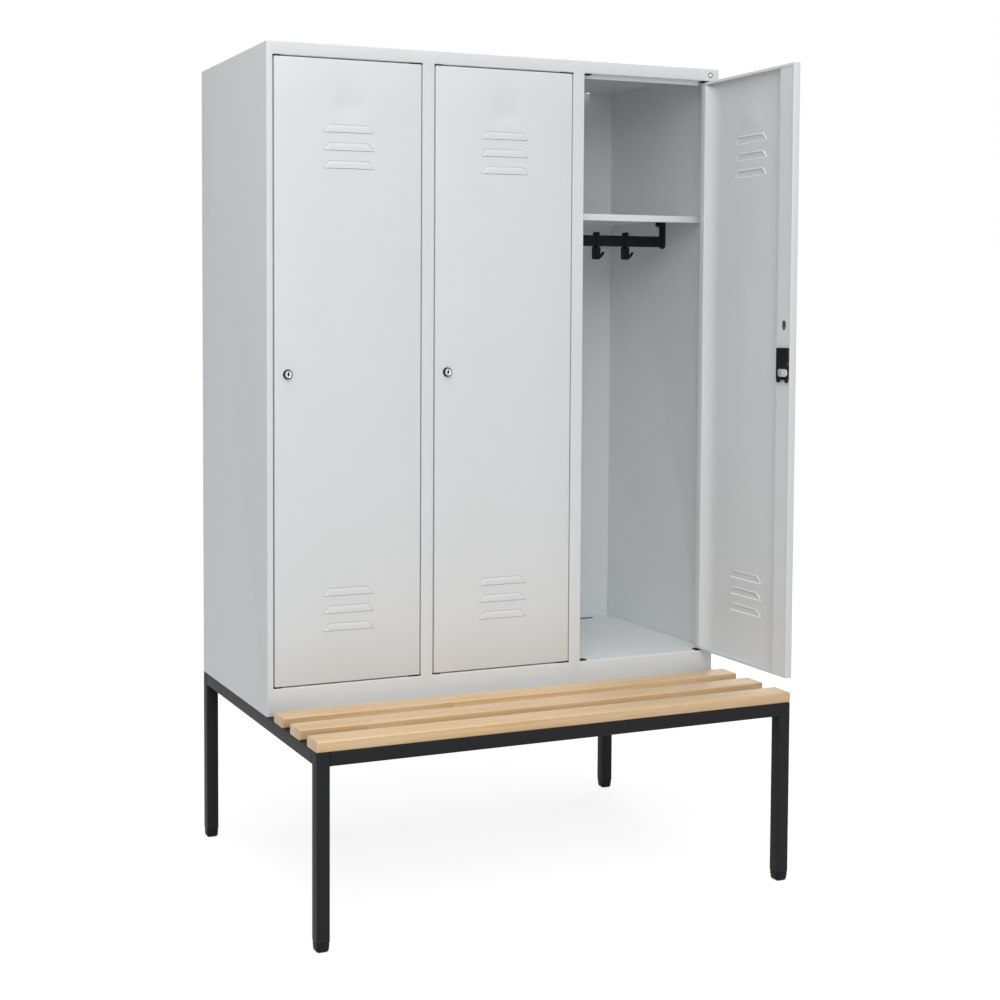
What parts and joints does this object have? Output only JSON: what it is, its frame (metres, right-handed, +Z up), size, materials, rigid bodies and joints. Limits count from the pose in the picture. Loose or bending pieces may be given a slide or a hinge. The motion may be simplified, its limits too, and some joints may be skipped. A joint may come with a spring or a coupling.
{
  "type": "locker with bench",
  "caption": "Steel clothes locker with hinged louvred doors, shelf and coat rail in each bay, on a tubular frame with a slatted wooden bench in front.",
  "frame": {"origin": "centre of the bounding box at rest, at floor level, with the right-hand door standing open at a right angle", "axes": "+X to the right along the front, +Y from the bench towards the back panel, +Z up"},
  "size_m": [1.2, 0.845, 1.9583],
  "materials": {
    "light_grey_paint": "satin light grey powder coat",
    "anthracite_paint": "satin anthracite powder coat",
    "lacquered_beech": "clear satin lacquer on light wood",
    "black_plastic": "moulded, fine texture",
    "chrome": "polished",
    "zinc": "bright zinc plated"
  },
  "bodies": {
    "root": {"leg_front_left": "anthracite_paint", "leg_front_right": "anthracite_paint", "leg_rear_left": "anthracite_paint", "leg_rear_right": "anthracite_paint", "foot_front_left": "black_plastic", "foot_front_right": "black_plastic", "foot_rear_left": "black_plastic", "foot_rear_right": "black_plastic", "front_rail": "anthracite_paint", "rear_rail": "anthracite_paint", "middle_rail": "anthracite_paint", "left_rail": "anthracite_paint", "right_rail": "anthracite_paint", "slat_front": "lacquered_beech", "slat_middle": "lacquered_beech", "slat_rear": "lacquered_beech", "side_panel_left": "light_grey_paint", "side_panel_right": "light_grey_paint", "back_panel": "light_grey_paint", "top_panel": "light_grey_paint", "floor_panel": "light_grey_paint", "partition_left": "light_grey_paint", "partition_right": "light_grey_paint", "mullion_left": "light_grey_paint", "mullion_right": "light_grey_paint", "header": "light_grey_paint", "sill": "light_grey_paint", "shelf_left": "light_grey_paint", "coat_rail_left": "black_plastic", "shelf_middle": "light_grey_paint", "coat_rail_middle": "black_plastic", "shelf_right": "light_grey_paint", "coat_rail_right": "black_plastic"},
    "left_door": {"door_left": "light_grey_paint", "door_stiffener_left": "light_grey_paint", "lock_case_left": "black_plastic", "hinge_pin_low_left": "zinc", "hinge_pin_high_left": "zinc"},
    "left_barrel": {"lock_barrel_left": "chrome"},
    "left_bolt": {"lock_bolt_left": "zinc"},
    "left_hook_1": {"coat_hook_left_1": "black_plastic"},
    "left_hook_2": {"coat_hook_left_2": "black_plastic"},
    "middle_door": {"door_middle": "light_grey_paint", "door_stiffener_middle": "light_grey_paint", "lock_case_middle": "black_plastic", "hinge_pin_low_middle": "zinc", "hinge_pin_high_middle": "zinc"},
    "middle_barrel": {"lock_barrel_middle": "chrome"},
    "middle_bolt": {"lock_bolt_middle": "zinc"},
    "middle_hook_1": {"coat_hook_middle_1": "black_plastic"},
    "middle_hook_2": {"coat_hook_middle_2": "black_plastic"},
    "right_door": {"door_right": "light_grey_paint", "door_stiffener_right": "light_grey_paint", "lock_case_right": "black_plastic", "hinge_pin_low_right": "zinc", "hinge_pin_high_right": "zinc"},
    "right_barrel": {"lock_barrel_right": "chrome"},
    "right_bolt": {"lock_bolt_right": "zinc"},
    "right_hook_1": {"coat_hook_right_1": "black_plastic"},
    "right_hook_2": {"coat_hook_right_2": "black_plastic"}
  },
  "joints": [
    {"name": "left_door_hinge", "type": "hinge", "parent": "root", "child": "left_door", "pos_m": [-0.2285, -0.0695, 1.2103], "axis": [0, 0, 1], "range_deg": [0, 110]},
    {"name": "left_barrel_turn", "type": "hinge", "parent": "left_door", "child": "left_barrel", "pos_m": [-0.55, -0.0695, 1.2103], "axis": [0, -1, 0], "range_deg": [0, 90]},
    {"name": "left_bolt_slide", "type": "slide", "parent": "left_door", "child": "left_bolt", "axis": [-1, 0, 0], "range_m": [0, 0.01]},
    {"name": "left_hook_1_slide", "type": "slide", "parent": "root", "child": "left_hook_1", "axis": [1, 0, 0], "range_m": [-0.094, 0.03]},
    {"name": "left_hook_2_slide", "type": "slide", "parent": "root", "child": "left_hook_2", "axis": [1, 0, 0], "range_m": [-0.03, 0.094]},
    {"name": "middle_door_hinge", "type": "hinge", "parent": "root", "child": "middle_door", "pos_m": [0.1715, -0.0695, 1.2103], "axis": [0, 0, 1], "range_deg": [0, 110]},
    {"name": "middle_barrel_turn", "type": "hinge", "parent": "middle_door", "child": "middle_barrel", "pos_m": [-0.15, -0.0695, 1.2103], "axis": [0, -1, 0], "range_deg": [0, 90]},
    {"name": "middle_bolt_slide", "type": "slide", "parent": "middle_door", "child": "middle_bolt", "axis": [-1, 0, 0], "range_m": [0, 0.01]},
    {"name": "middle_hook_1_slide", "type": "slide", "parent": "root", "child": "middle_hook_1", "axis": [1, 0, 0], "range_m": [-0.094, 0.03]},
    {"name": "middle_hook_2_slide", "type": "slide", "parent": "root", "child": "middle_hook_2", "axis": [1, 0, 0], "range_m": [-0.03, 0.094]},
    {"name": "right_door_hinge", "type": "hinge", "parent": "root", "child": "right_door", "pos_m": [0.5715, -0.0695, 1.2103], "axis": [0, 0, 1], "range_deg": [-90, 20]},
    {"name": "right_barrel_turn", "type": "hinge", "parent": "right_door", "child": "right_barrel", "pos_m": [0.5715, -0.391, 1.2103], "axis": [1, 0, 0], "range_deg": [0, 90]},
    {"name": "right_bolt_slide", "type": "slide", "parent": "right_door", "child": "right_bolt", "axis": [0, -1, 0], "range_m": [0, 0.01]},
    {"name": "right_hook_1_slide", "type": "slide", "parent": "root", "child": "right_hook_1", "axis": [1, 0, 0], "range_m": [-0.094, 0.03]},
    {"name": "right_hook_2_slide", "type": "slide", "parent": "root", "child": "right_hook_2", "axis": [1, 0, 0], "range_m": [-0.03, 0.094]}
  ],
  "couplings": [
    {"joint": "left_bolt_slide", "follows": "left_barrel_turn", "m_per_rad": 0.00636},
    {"joint": "middle_bolt_slide", "follows": "middle_barrel_turn", "m_per_rad": 0.00636},
    {"joint": "right_bolt_slide", "follows": "right_barrel_turn", "m_per_rad": 0.00636}
  ]
}
